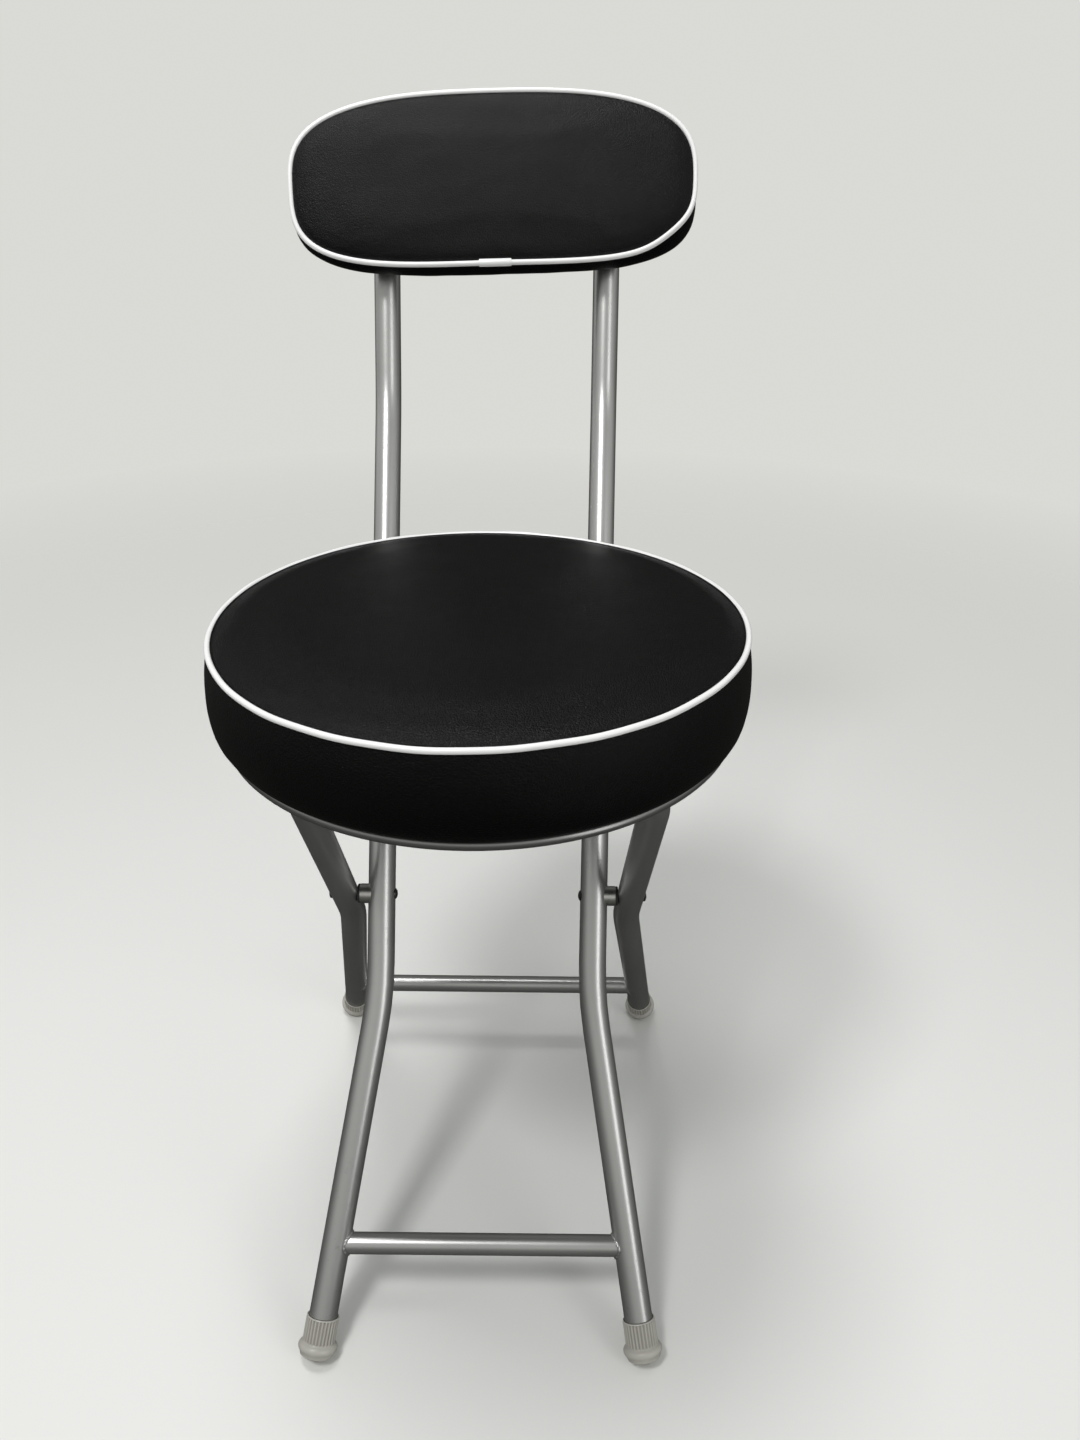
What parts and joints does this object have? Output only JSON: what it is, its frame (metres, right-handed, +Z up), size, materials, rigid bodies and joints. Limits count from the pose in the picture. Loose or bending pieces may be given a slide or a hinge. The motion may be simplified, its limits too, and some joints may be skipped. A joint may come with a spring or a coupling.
{
  "type": "folding stool with backrest",
  "caption": "Folding stool with a round padded seat, a padded backrest and crossed bent-tube frames.",
  "frame": {"origin": "on the floor, midway between the left and right sides and midway in depth between the fronts of the front feet and the rearmost screw heads", "axes": "+Z up, -Y to the front where the sitter's legs go, +X to the viewer's right seen from the front"},
  "size_m": [0.311, 0.4918, 0.7382],
  "materials": {
    "silver_paint": "satin",
    "dark_steel": "satin",
    "plated_steel": "satin",
    "black_plastic": "matte",
    "foot_plastic": "satin",
    "black_vinyl": "grained, semi-gloss",
    "white_piping": "gloss",
    "plywood": "matte"
  },
  "bodies": {
    "front_frame": {"back_screw_left_lower": "plated_steel", "back_screw_left_upper": "plated_steel", "back_screw_right_lower": "plated_steel", "back_screw_right_upper": "plated_steel", "backrest_board": "black_plastic", "backrest_cushion": "black_vinyl", "backrest_piping": "white_piping", "foot_front_left": "foot_plastic", "foot_front_right": "foot_plastic", "front_frame_tube": "silver_paint", "front_stretcher": "silver_paint", "piping_joint_sleeve": "white_piping", "pivot_bolt_left": "dark_steel", "pivot_bolt_right": "dark_steel", "pivot_nut_left": "dark_steel", "pivot_nut_right": "dark_steel", "pivot_spacer_left": "plated_steel", "pivot_spacer_right": "plated_steel", "pivot_washer_left": "black_plastic", "pivot_washer_right": "black_plastic", "saddle_washer_left_lower": "black_plastic", "saddle_washer_left_upper": "black_plastic", "saddle_washer_right_lower": "black_plastic", "saddle_washer_right_upper": "black_plastic", "seat_rest_bar": "silver_paint"},
    "rear_frame": {"foot_rear_left": "foot_plastic", "foot_rear_right": "foot_plastic", "rear_frame_tube": "silver_paint", "rear_stretcher": "silver_paint"},
    "seat": {"clamp_screw_left_front": "plated_steel", "clamp_screw_left_rear": "plated_steel", "clamp_screw_right_front": "plated_steel", "clamp_screw_right_rear": "plated_steel", "hook_screw_left_front": "plated_steel", "hook_screw_left_rear": "plated_steel", "hook_screw_right_front": "plated_steel", "hook_screw_right_rear": "plated_steel", "seat_board": "plywood", "seat_clamp_left": "silver_paint", "seat_clamp_right": "silver_paint", "seat_cushion": "black_vinyl", "seat_hook_left": "silver_paint", "seat_hook_right": "silver_paint", "seat_pan": "silver_paint", "seat_piping": "white_piping"}
  },
  "joints": [
    {"name": "leg_fold", "type": "hinge", "parent": "front_frame", "child": "rear_frame", "pos_m": [0, -0.05251, 0.24793], "axis": [-1, 0, 0], "range_deg": [0, 58]},
    {"name": "seat_tilt", "type": "hinge", "parent": "rear_frame", "child": "seat", "pos_m": [0, -0.14358, 0.41087], "axis": [1, 0, 0], "range_deg": [0, 112]}
  ],
  "couplings": [
    {"joint": "seat_tilt", "follows": "leg_fold", "ratio": 1.92}
  ]
}
